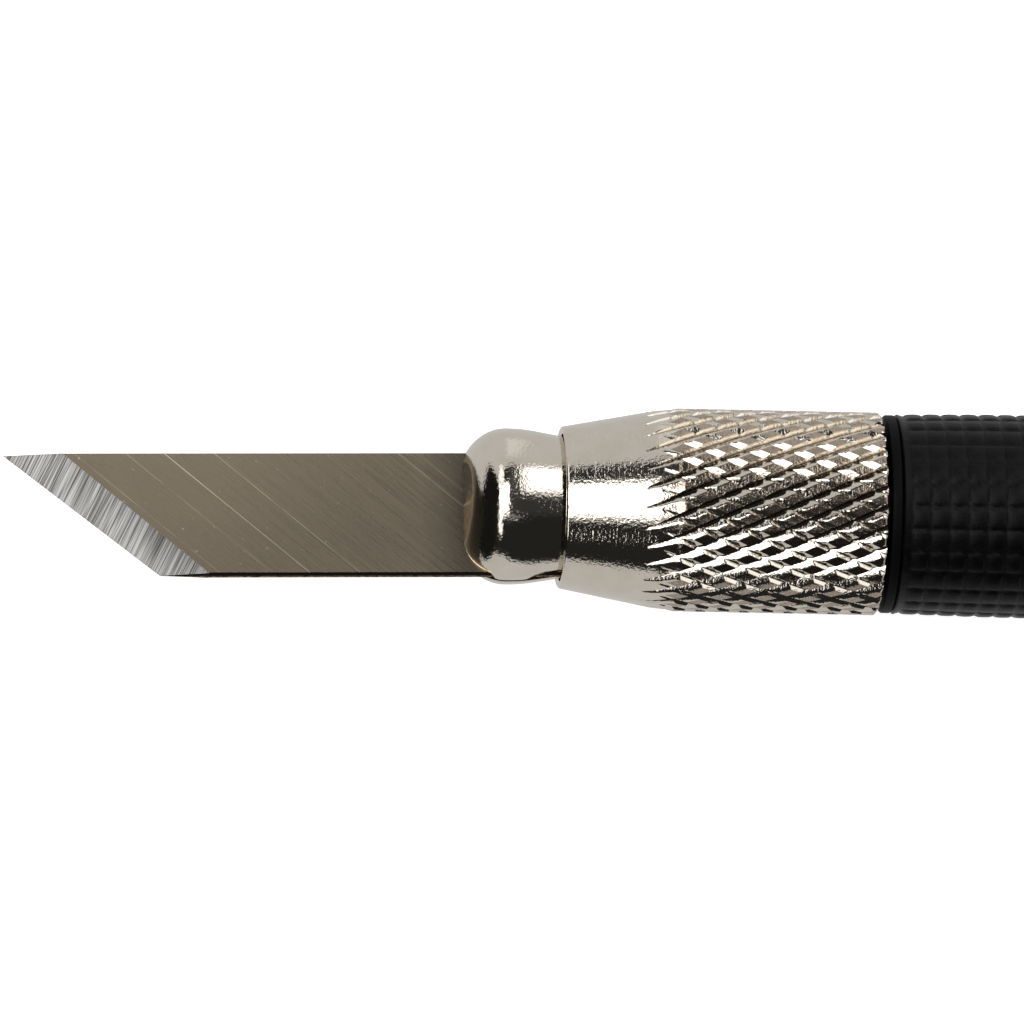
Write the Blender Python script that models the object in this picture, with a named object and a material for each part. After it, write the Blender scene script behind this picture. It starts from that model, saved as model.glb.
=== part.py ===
"""Hobby craft knife: a pointed blade held in a two-jaw collet that a knurled nut draws shut.

The knife lies along X. The tail face is at x = 0 and the blade points to -X. The blade lies
flat in the XY plane, and the knife rests on the plane z = -GRIP_R, on its grip and on one
flat of its hexagonal tail. Every length below is in millimetres, and stations along the
knife are measured from the blade's tip, so that x = station - LENGTH.
"""
import math

import bmesh
import bpy
from mathutils import Matrix, Vector

MM = 0.001

# Whole knife
LENGTH = 142.0
FACES = 48              # flats round a large turned piece
SMALL_FACES = 32        # flats round a small turned piece
FIT = 0.04              # gap between pieces that are pressed or laid together
SLIDING = 0.10          # radial gap round a piece that turns or slides
CHAMFER = 0.3           # on the small turned edges
SHARP = math.radians(30)    # edges that turn more than this are shaded sharp
CUTTER_REACH = 6.0      # cutters run this far from the axis, past every turned piece

# Blade
BLADE_LENGTH = 38.0
BLADE_WIDTH = 6.0
BLADE_THICK = 0.6
CUT_RUN = 7.14          # how far the cutting edge runs back along the blade
BEVEL_RUN = (2.75, 2.26)    # width along the blade of the ground bevel, at the tip and below
EDGE_HALF = 0.012       # half the thickness left at the cutting edge
EDGE_DROP = 0.05        # the edge is ground a little off the blade's middle plane
BLADE_LEAN = math.radians(1.35)
BLADE_OFFSET = 0.48     # the blade's middle lies this far to -Y where it enters the collet
HEEL_CHAMFER = 0.5

# Collet
COLLET_FRONT = 21.4
BULB_R = 3.64
BULB_NOSE = (2.0, 1.74)     # half axes of the rounded nose, along and across the knife
BULB_BACK = 24.05           # the taper that the nut pushes on starts here
TAPER = 0.17                # radius lost for each millimetre along the taper
NECK_R = 3.05
THREAD_START = 31.0
THREAD_END = 36.8
THREAD_LEAD_IN = 0.5
THREAD_R = 3.60
JAW_TAIL_R = 3.05
JAW_END = 42.5
FLEX_STATION = 42.65        # the jaws bend about this station
SEAT_HALF_WIDTH = 3.50      # half the width of the blade seat cut in the upper jaw
JAW_SPLIT = -0.33           # height of the upper jaw's lips

# Collet shank
SHANK_START = 42.8
SHANK_END = 60.8
SHANK_R = 2.5
SHANK_HEAD_R = 3.05
SHANK_HEAD_BACK = 44.4
KEYWAY = (48.6, 53.4)
KEYWAY_WIDTH = 1.2
KEYWAY_DEPTH = 0.75
CLIP_STATION = 59.45        # the clip meets the ferrule's end when the collet is right out
CLIP_THICK = 0.5
CLIP_R = 3.10
CLIP_MOUTH = math.radians(80)
CLIP_GROOVE_R = 2.0

# Knurled nut
NUT_FRONT = 25.9
NUT_BACK = 40.8
NUT_MOUTH_R = 3.79
NUT_CONE_END = 30.2
NUT_CONE_R = 4.58
NUT_SHOULDER = (31.4, 0.9)  # where the cone has turned level, and the radius that it turns on
NUT_SHOULDER_ARC = 22       # degrees
NUT_R = 4.73
NUT_BORE_R = 3.44
NUT_BORE_BACK = 28.4
NUT_MOUTH_BREAK = (0.10, 0.08)  # the bore's edge is broken this far along and across
NUT_THREAD_R = 3.80
NUT_RELIEF = 37.1           # the rear counterbore that takes the ferrule's neck starts here
EDGE_ROUND = 0.14

# Ferrule, retaining ring, key pin and washer
NECK_FRONT = 37.4
FERRULE_NECK_R = 3.65
FLANGE_FRONT = 41.5
FLANGE_BACK = 43.0
FLANGE_R = 4.00
SHOULDER_R = 3.60
SHOULDER_BACK = 45.4
FERRULE_BORE_STEP = 44.9    # the bore narrows here from the jaws' tails to the shank
FERRULE_R = 3.28
FERRULE_BACK = 58.0
RING_STATION = 38.6
RING_R = 3.66
RING_WIRE_R = 0.22
RING_ROOM = 0.06            # play round the ring's wire in its two grooves
RING_GAP = math.radians(28)
PIN_STATION = 50.2
PIN_R = 0.5
PIN_LIFT = 0.15             # gap between the pin's end and the keyway's floor
WASHER = (41.0, 41.46)
WASHER_R = 4.62
WASHER_ROUND = 0.06

# Handle
GRIP_FRONT = 41.5
GRIP_FRONT_R = 4.66
GRIP_R = 4.75
GRIP_SWELL = 6.0            # the grip reaches its full radius after this length
GRIP_BACK = 104.0
GRIP_END_EASE = (0.6, 0.25)     # the grip's back edge is eased this far along and across
COLLAR_R = 4.30             # the tube's outside round the ferrule's flange
COLLAR_BACK = 43.7
LAND_R = 4.00               # the tube's outside round the ferrule's shoulder
LAND_BACK = 46.8
LAND_STEP = 0.5             # length of the slope where the shoulder's bore narrows
TUBE_R = 3.88
TUBE_BORE_R = 3.32
BARREL_R = 4.70
BARREL_BACK = 130.0
BARREL_FRONT_BREAK = 0.12
BARREL_BACK_BREAK = 0.2
PLUG_SPIGOT = 8.0
PLUG_ROOT = 1.0             # the spigot starts this far inside the head
HEX_CORNER_ROUND = 1.1
END_CHAMFER = 0.45


def x_at(station):
    """The x coordinate, in metres, of a station given in millimetres from the tip."""
    return (station - LENGTH) * MM


def clear_scene():
    for old in list(bpy.data.objects):
        bpy.data.objects.remove(old, do_unlink=True)


def material(name, colour, roughness, metallic):
    mat = bpy.data.materials.new(name)
    mat.use_nodes = True
    shader = mat.node_tree.nodes["Principled BSDF"]
    shader.inputs["Base Color"].default_value = (*colour, 1.0)
    shader.inputs["Roughness"].default_value = roughness
    shader.inputs["Metallic"].default_value = metallic
    return mat


def to_object(name, bm, mat):
    """Turn a bmesh into a named, smooth shaded object with outward faces."""
    bmesh.ops.recalc_face_normals(bm, faces=bm.faces)
    mesh = bpy.data.meshes.new(name)
    bm.to_mesh(mesh)
    bm.free()
    mesh.shade_smooth()
    mesh.set_sharp_from_angle(angle=SHARP)
    obj = bpy.data.objects.new(name, mesh)
    bpy.context.collection.objects.link(obj)
    if mat:
        mesh.materials.append(mat)
    return obj


def set_origin(obj, station):
    """Put the object's origin on its joint, without moving the shape."""
    shift = Vector((x_at(station), 0.0, 0.0))
    obj.data.transform(Matrix.Translation(-shift))
    obj.location = shift


def turned(name, outline, mat, faces=FACES, start=0.0, sweep=2 * math.pi):
    """Turn a closed outline of (station, radius) points about the knife's axis."""
    closed = sweep >= 2 * math.pi - 1e-6
    count = faces if closed else faces + 1
    bm = bmesh.new()
    rings = []
    for station, radius in outline:
        if radius < 1e-6:
            rings.append([bm.verts.new((x_at(station), 0.0, 0.0))] * count)
            continue
        ring = []
        for i in range(count):
            angle = start + sweep * i / faces
            ring.append(bm.verts.new((x_at(station), radius * MM * math.cos(angle),
                                      radius * MM * math.sin(angle))))
        rings.append(ring)
    for ring, after in zip(rings, rings[1:] + rings[:1]):
        for i in range(faces):
            j = (i + 1) % count
            corners = []
            for vert in (ring[i], ring[j], after[j], after[i]):
                if vert not in corners:
                    corners.append(vert)
            if len(corners) > 2:
                bm.faces.new(corners)
    if not closed:
        bm.faces.new([ring[0] for ring in rings])
        bm.faces.new([ring[-1] for ring in rings])
    return to_object(name, bm, mat)


def block(name, stations, y_range, z_range):
    """A plain box, used as a cutter."""
    bm = bmesh.new()
    bmesh.ops.create_cube(bm, size=1.0)
    low = Vector((x_at(stations[0]), y_range[0] * MM, z_range[0] * MM))
    high = Vector((x_at(stations[1]), y_range[1] * MM, z_range[1] * MM))
    for vert in bm.verts:
        vert.co = Vector([low[k] + (vert.co[k] + 0.5) * (high[k] - low[k]) for k in range(3)])
    return to_object(name, bm, None)


def combine(obj, other, operation):
    """Cut, join or intersect obj with a hidden helper object."""
    other.hide_render = True
    other.display_type = 'WIRE'
    mod = obj.modifiers.new(other.name, 'BOOLEAN')
    mod.object = other
    mod.operation = operation
    mod.solver = 'EXACT'


def arc(centre, half_axes, start, end, steps):
    """Points of an elliptical arc in (station, radius), angles in degrees from +station."""
    points = []
    for i in range(steps + 1):
        angle = math.radians(start + (end - start) * i / steps)
        points.append((centre[0] + half_axes[0] * math.cos(angle),
                       centre[1] + half_axes[1] * math.sin(angle)))
    return points


def blade_point(u, v, height):
    """A point of the blade: u back from the tip, v across it, and height through it.

    The blade leans in its own plane, so that its middle crosses the collet's mouth at
    BLADE_OFFSET to -Y. The pointed corner of its back is at station 0.
    """
    lean_run = BLADE_WIDTH / 2 * math.sin(BLADE_LEAN)
    middle = -BLADE_OFFSET - (COLLET_FRONT - lean_run) * math.tan(BLADE_LEAN)
    station = lean_run + u * math.cos(BLADE_LEAN) - v * math.sin(BLADE_LEAN)
    side = middle + u * math.sin(BLADE_LEAN) + v * math.cos(BLADE_LEAN)
    return Vector((x_at(station), side * MM, height * MM))


def make_blade(mat):
    """A flat strip, cut on a slant and ground to an edge from both sides."""
    half = BLADE_WIDTH / 2
    body = [(BEVEL_RUN[0], half), (CUT_RUN + BEVEL_RUN[1], -half),
            (BLADE_LENGTH - HEEL_CHAMFER, -half), (BLADE_LENGTH, -half + HEEL_CHAMFER),
            (BLADE_LENGTH, half - HEEL_CHAMFER), (BLADE_LENGTH - HEEL_CHAMFER, half)]
    edge = [(0.0, half), (CUT_RUN, -half)]
    bm = bmesh.new()
    rims = []
    for side in (1, -1):
        flat = [bm.verts.new(blade_point(u, v, side * BLADE_THICK / 2)) for u, v in body]
        keen = [bm.verts.new(blade_point(u, v, side * EDGE_HALF - EDGE_DROP)) for u, v in edge]
        bm.faces.new(flat)
        bm.faces.new([flat[0], flat[1], keen[1], keen[0]])
        rims.append(keen + flat[1:] + flat[:1])
    upper, lower = rims
    for i in range(len(upper)):
        j = (i + 1) % len(upper)
        bm.faces.new([upper[i], upper[j], lower[j], lower[i]])
    blade = to_object("blade", bm, mat)
    set_origin(blade, COLLET_FRONT)


def collet_outline():
    """The two jaws' outside before they are split: nose, bulb, taper, neck, thread and tail."""
    nose_centre = (COLLET_FRONT + BULB_NOSE[0], BULB_R - BULB_NOSE[1])
    nose = arc(nose_centre, BULB_NOSE, 180, 90, 8)
    taper_end = BULB_BACK + (BULB_R - NECK_R) / TAPER
    back = [(BULB_BACK, BULB_R), (taper_end, NECK_R), (THREAD_START - THREAD_LEAD_IN, NECK_R),
            (THREAD_START, THREAD_R), (THREAD_END, THREAD_R),
            (THREAD_END + CHAMFER, JAW_TAIL_R), (JAW_END, JAW_TAIL_R)]
    return [(COLLET_FRONT, 0.0)] + nose + back + [(JAW_END, 0.0)]


def make_jaws(mat):
    """The upper jaw holds the blade's seat between two lips; the lower jaw is flat."""
    reach = CUTTER_REACH
    span = (COLLET_FRONT - reach, JAW_END + reach)
    upper = turned("collet_upper_jaw", collet_outline(), mat)
    lower = turned("collet_lower_jaw", collet_outline(), mat)
    below = block("cut_below_upper_jaw", span, (-reach, reach), (-reach, JAW_SPLIT))
    seat = block("cut_blade_seat", span, (-SEAT_HALF_WIDTH, SEAT_HALF_WIDTH),
                 (-reach, BLADE_THICK / 2 + FIT))
    above = block("cut_above_lower_jaw", span, (-reach, reach), (JAW_SPLIT - FIT, reach))
    combine(upper, below, 'DIFFERENCE')
    combine(upper, seat, 'DIFFERENCE')
    combine(lower, above, 'DIFFERENCE')
    for jaw in (upper, lower):
        set_origin(jaw, FLEX_STATION)


def make_shank(mat, steel):
    """The collet's round shank, with a keyway on top and a stop clip at its end."""
    groove = (CLIP_STATION - FIT, CLIP_STATION + CLIP_THICK + FIT)
    outline = [(SHANK_START, 0.0), (SHANK_START, SHANK_HEAD_R), (SHANK_HEAD_BACK, SHANK_HEAD_R),
               (SHANK_HEAD_BACK + CHAMFER, SHANK_R), (groove[0], SHANK_R),
               (groove[0], CLIP_GROOVE_R), (groove[1], CLIP_GROOVE_R), (groove[1], SHANK_R),
               (SHANK_END - CHAMFER, SHANK_R), (SHANK_END, SHANK_R - CHAMFER), (SHANK_END, 0.0)]
    shank = turned("collet_shank", outline, mat, SMALL_FACES)
    keyway = block("cut_keyway", KEYWAY, (-KEYWAY_WIDTH / 2, KEYWAY_WIDTH / 2),
                   (SHANK_R - KEYWAY_DEPTH, CUTTER_REACH))
    combine(shank, keyway, 'DIFFERENCE')
    inner = CLIP_GROOVE_R + FIT
    back = CLIP_STATION + CLIP_THICK
    turned("shank_stop_clip",
           [(CLIP_STATION, inner), (CLIP_STATION, CLIP_R), (back, CLIP_R), (back, inner)],
           steel, SMALL_FACES, (CLIP_MOUTH - math.pi) / 2, 2 * math.pi - CLIP_MOUTH)


def make_nut(mat):
    """The nut: smooth cone in front, grip cylinder behind, stepped bore for collet and neck."""
    groove = (RING_STATION - RING_WIRE_R - RING_ROOM, RING_STATION + RING_WIRE_R + RING_ROOM)
    groove_r = RING_R + RING_WIRE_R + RING_ROOM
    relief_r = FERRULE_NECK_R + SLIDING
    front_round = arc((NUT_FRONT + EDGE_ROUND, NUT_MOUTH_R - EDGE_ROUND),
                      (EDGE_ROUND, EDGE_ROUND), 180, 90, 3)
    level, turn_r = NUT_SHOULDER
    shoulder = arc((level, NUT_R - turn_r), (turn_r, turn_r), 90 + NUT_SHOULDER_ARC, 90, 2)
    outside = front_round + [(NUT_CONE_END, NUT_CONE_R)] + shoulder
    outside += [(NUT_BACK - EDGE_ROUND, NUT_R), (NUT_BACK, NUT_R - EDGE_ROUND)]
    bore = [(NUT_BACK, relief_r), (groove[1], relief_r), (groove[1], groove_r),
            (groove[0], groove_r), (groove[0], relief_r), (NUT_RELIEF, relief_r),
            (NUT_RELIEF, NUT_THREAD_R), (NUT_BORE_BACK, NUT_THREAD_R),
            (NUT_BORE_BACK - CHAMFER, NUT_BORE_R),
            (NUT_FRONT + NUT_MOUTH_BREAK[0], NUT_BORE_R),
            (NUT_FRONT, NUT_BORE_R + NUT_MOUTH_BREAK[1])]
    nut = turned("knurled_nut", outside + bore, mat)
    set_origin(nut, NUT_BACK)


def radial_pin(name, radius, heights, mat):
    """A short round pin that stands on the knife's axis line, along +Z."""
    bm = bmesh.new()
    bmesh.ops.create_cone(bm, cap_ends=True, segments=16, radius1=radius * MM,
                          radius2=radius * MM, depth=(heights[1] - heights[0]) * MM)
    middle = Vector((x_at(PIN_STATION), 0.0, (heights[0] + heights[1]) / 2 * MM))
    bmesh.ops.translate(bm, verts=bm.verts, vec=middle)
    return to_object(name, bm, mat)


def make_ferrule(mat):
    """The pressed-in ferrule: its neck carries the nut and its bore guides the collet."""
    groove = (RING_STATION - RING_WIRE_R - RING_ROOM, RING_STATION + RING_WIRE_R + RING_ROOM)
    groove_r = RING_R - RING_WIRE_R - RING_ROOM
    jaw_bore = JAW_TAIL_R + 2 * SLIDING
    shank_bore = SHANK_R + SLIDING
    outside = [(NECK_FRONT, FERRULE_NECK_R), (groove[0], FERRULE_NECK_R), (groove[0], groove_r),
               (groove[1], groove_r), (groove[1], FERRULE_NECK_R),
               (FLANGE_FRONT, FERRULE_NECK_R), (FLANGE_FRONT, FLANGE_R), (FLANGE_BACK, FLANGE_R),
               (FLANGE_BACK, SHOULDER_R), (SHOULDER_BACK, SHOULDER_R),
               (SHOULDER_BACK + LAND_STEP, FERRULE_R), (FERRULE_BACK, FERRULE_R)]
    bore = [(FERRULE_BACK, shank_bore), (FERRULE_BORE_STEP, shank_bore),
            (FERRULE_BORE_STEP, jaw_bore), (NECK_FRONT, jaw_bore)]
    ferrule = turned("front_ferrule", outside + bore, mat)
    hole = radial_pin("cut_pin_hole", PIN_R + FIT, (SHANK_R - SLIDING, CUTTER_REACH), None)
    combine(ferrule, hole, 'DIFFERENCE')


def make_small_parts(steel, nylon):
    """The snap ring that keeps the nut on, the pin that stops the collet turning, the washer."""
    wire = arc((RING_STATION, RING_R), (RING_WIRE_R, RING_WIRE_R), 0, 315, 7)
    turned("nut_retaining_ring", wire, steel, FACES, RING_GAP / 2, 2 * math.pi - RING_GAP)
    radial_pin("key_pin", PIN_R, (SHANK_R - KEYWAY_DEPTH + PIN_LIFT, FERRULE_R - FIT), steel)
    front, back = WASHER
    inner = FERRULE_NECK_R + FIT
    turned("thrust_washer",
           [(front, inner), (front, WASHER_R - WASHER_ROUND), (front + WASHER_ROUND, WASHER_R),
            (back - WASHER_ROUND, WASHER_R), (back, WASHER_R - WASHER_ROUND), (back, inner)],
           nylon)


def make_tube(mat):
    """The moulded barrel: a thin tube under the grip and a full-size barrel behind it."""
    outside = [(GRIP_FRONT, COLLAR_R), (COLLAR_BACK, COLLAR_R), (COLLAR_BACK, LAND_R),
               (LAND_BACK, LAND_R), (LAND_BACK, TUBE_R), (GRIP_BACK, TUBE_R),
               (GRIP_BACK, BARREL_R - BARREL_FRONT_BREAK),
               (GRIP_BACK + BARREL_FRONT_BREAK, BARREL_R),
               (BARREL_BACK - BARREL_BACK_BREAK, BARREL_R),
               (BARREL_BACK, BARREL_R - BARREL_BACK_BREAK)]
    step_front = SHOULDER_BACK + FIT
    bore = [(BARREL_BACK, TUBE_BORE_R), (step_front + LAND_STEP, TUBE_BORE_R),
            (step_front, SHOULDER_R + FIT), (FLANGE_BACK + FIT, SHOULDER_R + FIT),
            (FLANGE_BACK + FIT, FLANGE_R + FIT), (GRIP_FRONT, FLANGE_R + FIT)]
    turned("handle_tube", outside + bore, mat)


def make_grip(mat):
    """The soft sleeve: it swells a little behind the nut, then runs straight."""
    steps = 5
    outside = []
    for i in range(steps + 1):
        part = i / steps
        swell = (GRIP_R - GRIP_FRONT_R) * math.sin(part * math.pi / 2)
        outside.append((GRIP_FRONT + GRIP_SWELL * part, GRIP_FRONT_R + swell))
    along, across = GRIP_END_EASE
    outside += [(GRIP_BACK - along, GRIP_R), (GRIP_BACK - FIT, GRIP_R - across)]
    bore = [(GRIP_BACK - FIT, TUBE_R + FIT), (LAND_BACK + FIT, TUBE_R + FIT),
            (LAND_BACK + FIT, LAND_R + FIT), (COLLAR_BACK + FIT, LAND_R + FIT),
            (COLLAR_BACK + FIT, COLLAR_R + FIT), (GRIP_FRONT, COLLAR_R + FIT)]
    turned("grip_sleeve", outside + bore, mat)


def hex_ring(bm, station, corner_r):
    """Six corners of a hexagon with flats above and below."""
    return [bm.verts.new((x_at(station), corner_r * MM * math.cos(i * math.pi / 3),
                          corner_r * MM * math.sin(i * math.pi / 3))) for i in range(6)]


def make_tail_plug(mat):
    """A pressed-in plug whose hexagonal head keeps the knife from rolling."""
    head_front = BARREL_BACK + FIT
    corner_r = GRIP_R / math.cos(math.pi / 6)
    bm = bmesh.new()
    front = hex_ring(bm, head_front, corner_r)
    back = hex_ring(bm, LENGTH, corner_r)
    bm.faces.new(front)
    bm.faces.new(back)
    ribs = []
    for i in range(6):
        j = (i + 1) % 6
        bm.faces.new([front[i], front[j], back[j], back[i]])
        ribs.append(bm.edges.get((front[i], back[i])))
    bmesh.ops.recalc_face_normals(bm, faces=bm.faces)
    bmesh.ops.bevel(bm, geom=ribs, offset=HEX_CORNER_ROUND * MM, segments=4, profile=0.5,
                    affect='EDGES', offset_type='OFFSET')
    rims = [edge for edge in bm.edges
            if abs(edge.verts[0].co.x - edge.verts[1].co.x) < 1e-7]
    bmesh.ops.bevel(bm, geom=rims, offset=END_CHAMFER * MM, segments=2, profile=0.5,
                    affect='EDGES', offset_type='OFFSET')
    plug = to_object("tail_plug", bm, mat)
    spigot_r = TUBE_BORE_R - FIT
    tip = BARREL_BACK - PLUG_SPIGOT
    root = head_front + PLUG_ROOT
    spigot = turned("join_spigot", [(tip, 0.0), (tip, spigot_r - CHAMFER),
                                    (tip + CHAMFER, spigot_r), (root, spigot_r), (root, 0.0)],
                    None)
    combine(plug, spigot, 'UNION')


def main():
    clear_scene()
    nickel = material("nickel_plate", (0.74, 0.71, 0.67), 0.18, 1.0)
    blade_steel = material("blade_steel", (0.36, 0.33, 0.28), 0.35, 1.0)
    steel = material("spring_steel", (0.45, 0.45, 0.46), 0.30, 1.0)
    brass = material("brass", (0.72, 0.55, 0.28), 0.30, 1.0)
    rubber = material("grip_rubber", (0.018, 0.018, 0.019), 0.62, 0.0)
    plastic = material("handle_plastic", (0.020, 0.020, 0.021), 0.42, 0.0)
    nylon = material("nylon", (0.015, 0.015, 0.016), 0.50, 0.0)

    make_blade(blade_steel)
    make_jaws(nickel)
    make_shank(nickel, steel)
    make_nut(nickel)
    make_ferrule(brass)
    make_small_parts(steel, nylon)
    make_tube(plastic)
    make_grip(rubber)
    make_tail_plug(plastic)


main()
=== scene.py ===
import math

import bmesh
import bpy
import numpy as np
from mathutils import Matrix, Vector


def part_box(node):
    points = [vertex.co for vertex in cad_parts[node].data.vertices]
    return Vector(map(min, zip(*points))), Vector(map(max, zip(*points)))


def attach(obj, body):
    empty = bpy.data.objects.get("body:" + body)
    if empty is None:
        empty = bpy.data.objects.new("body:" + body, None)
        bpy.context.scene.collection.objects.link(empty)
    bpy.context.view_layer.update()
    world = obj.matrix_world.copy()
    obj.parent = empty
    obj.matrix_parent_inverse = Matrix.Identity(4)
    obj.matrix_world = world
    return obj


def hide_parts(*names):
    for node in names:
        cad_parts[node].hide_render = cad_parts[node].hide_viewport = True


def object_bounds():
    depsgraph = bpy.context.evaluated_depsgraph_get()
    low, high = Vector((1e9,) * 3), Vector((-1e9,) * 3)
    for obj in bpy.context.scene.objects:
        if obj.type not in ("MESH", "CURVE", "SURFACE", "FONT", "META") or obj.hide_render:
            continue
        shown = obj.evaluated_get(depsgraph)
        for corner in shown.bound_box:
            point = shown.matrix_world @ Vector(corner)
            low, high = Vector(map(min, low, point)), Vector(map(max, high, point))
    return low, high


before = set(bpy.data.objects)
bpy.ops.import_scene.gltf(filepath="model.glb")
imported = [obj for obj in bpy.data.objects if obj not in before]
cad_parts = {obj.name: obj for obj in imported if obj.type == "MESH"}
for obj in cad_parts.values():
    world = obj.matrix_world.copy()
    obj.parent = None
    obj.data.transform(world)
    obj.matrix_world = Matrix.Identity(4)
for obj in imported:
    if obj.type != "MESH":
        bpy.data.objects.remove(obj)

MM = 0.001
CAD_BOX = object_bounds()

# View
YAW = math.radians(5.0)         # the handle runs away from the camera
TILT = math.radians(1.17)       # and down the view
ROLL = math.radians(22.0)       # the blade's flat side is turned up from facing the camera
DISTANCE = 600.0
VIEW_WIDTH = 47.54
TIP_IN_VIEW = (-23.63, 2.61)    # right of and above the view's middle
SENSOR = 36.0
CLIP = (0.01, 20.0)             # nearest and farthest that the camera sees, in metres

# Blade
BLADE_LEAN = math.radians(1.35)
BLADE_WIDTH = 6.0
CUT_RUN = 7.14                  # how far the cutting edge runs back along the blade
BEVEL_RUN = (2.75, 2.26)        # width of the ground bevel along the blade, at the tip and below
EDGE_HALF = 0.012               # half the thickness left at the cutting edge
EDGE_DROP = 0.05                # and how far below the strip's middle it lies
HEEL_CHAMFER = 0.5
RIM = 0.03                      # the strip's long edges are broken this much
FLAT_LEVEL = 0.9995             # a face whose normal is this upright is a flat side of the strip
BEVEL_LEVEL = 0.95              # and one whose normal is this upright is a ground bevel
# Direction of the line where the bevel starts
EDGE_TURN = BLADE_LEAN - math.atan2(BLADE_WIDTH, CUT_RUN + BEVEL_RUN[1] - BEVEL_RUN[0])
GRIND_TURN = math.radians(14.5)     # the grinding lines lean this far from square to the edge
# Scratches along the line where the bevel starts: distance back from the tip, half width,
# strength and unbroken share
SCRATCHES = ((2.19, 0.020, 0.34, 0.2), (3.81, 0.020, 0.36, 0.2), (5.00, 0.026, 0.90, 0.8),
             (6.56, 0.026, 0.75, 0.5), (12.3, 0.028, 0.80, 0.5), (12.9, 0.022, 0.50, 0.3))

# Collet jaws, in distances from the collet's front
FACE_R = 1.9                    # radius of the front face
FACE_RINGS = (0.40, 0.9, 1.4, FACE_R - 0.04)    # radii of the mesh's rings on it
NOSE_RUN = 2.0                  # from the face to the bulb's widest
NOSE_STEPS = 24
FACE_SLANT = 0.17               # the face leans back this much for each millimetre off the blade
SLANT_FADE = 6                  # how late the slant fades out on the way to the bulb's widest
FACE_WEAR = 0.25                # the face's bare metal fades out over this much radius
TAPER_BLEND = 3.3               # the bulb has turned into the taper by here
TAPER = 0.17                    # which narrows this much for each millimetre
NECK_R = 3.05
THREAD = (9.6, 15.4, 0.7, 0.28)     # start, end, pitch and depth
THREAD_R = 3.60
THREAD_ENDS = (0.5, 0.3)        # length of the slopes in front of the thread and behind it
THREAD_STEPS = 8                # mesh steps in one pitch
TAIL_R = 3.05
SEAT_HALF_WIDTH = 3.5
SEAT_FLOOR = 0.34
UPPER_LIP = -0.33
LIP_RISE = 0.1                  # the lips grow to full height over this much radius
LIP_LEAST = 0.004
LOWER_TOP = 0.37                # the lower jaw's flat lies this far below the middle plane
FLAT_INSET = 0.012              # a flat stops this short of the round outside
BROKEN_EDGE = (0.14, 0.05)      # width and drop of the rounding beside the jaws' flats
EDGE_WEAR = 0.6                 # how bare that rounding is where it meets the flat
SECTION_STEPS = 72              # mesh steps round the outside of a jaw

# Nut, in distances from its front, with radii
NUT_MOUTH_R = 3.79
NUT_CONE = (4.3, 4.58)
NUT_SHOULDER = (5.5, 0.9, 112.0)    # where the cone has turned level, the turn's radius and start
NUT_EDGE = 0.14
NUT_BORE = ((14.9, 3.75), (12.98, 3.75), (12.98, 3.94), (12.42, 3.94), (12.42, 3.75),
            (11.2, 3.75), (11.2, 3.80), (2.5, 3.80), (2.2, 3.44), (0.1, 3.44))
CONE_MESH = (0.4, 0.2, 9)       # the mesh between mouth and knurl: gap at each, and stations

# Knurl
STARTS = 30                     # grooves each way
KNURL_LENGTH = 2.07             # from one crossing to the next, along the nut
KNURL_CROSSING = 2.983          # a crossing lies this far from the nut's front
KNURL_TURN = math.radians(7.70)     # and at this angle
KNURL_STEPS = 14                # mesh steps from one groove to the next
KNURL_LEAD = 6                  # the knurled part's mesh starts this many steps past the crossing
# Depth, the shares of the pitch that the gentle and the steep side of a groove take, and how
# hollow the gentle side is: 1 is flat, and above 1 it is steepest at the bottom
DEEP = (0.28, 7 / 14, 1 / 14, 1.25)
SHALLOW = (0.15, 4 / 14, 2 / 14, 1.0)
HAIR = 1e-6                     # keeps a point that lies in a groove on one side of it
UNCUT = 0.005                   # what is cut less than this is a flat between the grooves
MARKED_FROM = NUT_CONE[0] - 0.6     # flats and the seams' painted shade are marked from here
WHOLE_FROM = NUT_CONE[0] + 0.4      # and only the flats whose middle is past this are whole
# How much painted shade a groove's bottom gets: this many times its share of the full depth, less
# the second number
DEEP_SEAM_SHADE = (6, 5)
SHALLOW_SEAM_SHADE = (3, 2.4)

# Grip
RIBS_ROUND = 27
RIB_LENGTH = 0.884
RIB_DEPTH = 0.10
PLAIN_FRONT = 0.40              # from the grip's front to the first groove
RIB_TURN = math.radians(40.3)   # where one lengthwise groove lies
# Share of the way from one groove to the next, and drop there in rib depths
RIB_PROFILE = ((0.0, 1.0), (0.10, 0.45), (0.22, 0.12), (0.5, 0.0), (0.78, 0.12), (0.90, 0.45))
GRIP_DROP = 0.09                # the grip is this much slimmer at its front
GRIP_SWELL = 6.0                # and full size this far back
# Its ends and the plain part behind the last rib: distance and drop in rib depths
GRIP_FRONT = ((0.0, 1.6), (0.02, 0.9), (0.10, 0.0))
PLAIN_BACK = (0.15, 0.1)
GRIP_BACK = ((0.5, 0.1), (0.2, 0.9), (0.0, 2.4))

# Handle
FIT = 0.04                      # gap between pieces that are pressed or laid together
TUBE_R = 3.88
# Length from the grip's front, and radius: the tube's collar and land inside the grip, then
# the ferrule's flange and shoulder inside the tube
COLLAR = (2.2, 4.30)
LAND = (5.3, 4.00)
FLANGE = (1.5, 4.00)
SHOULDER = (3.9, 3.60)
LAND_STEP = 0.5                 # the bore slopes over this length behind the shoulder
BORE_R = 3.32
BARREL_EDGES = (0.12, 0.2)      # rounding of the barrel's front and back edge
WASHER_BORE_R = 3.69
WASHER_EDGES = (0.10, 0.06)     # rounding of the washer's front and back edge
END_CHAMFER = 0.45
END_STEPS = 5
CORNER_POINTS = 10              # mesh points round each corner of the plug's head
SPIGOT = 8.0                    # length of the plug's round part, which is inside the tube
SPIGOT_LEAD = 0.3
TURNED_COLUMNS = 120            # mesh steps round a plain turned piece

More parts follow.
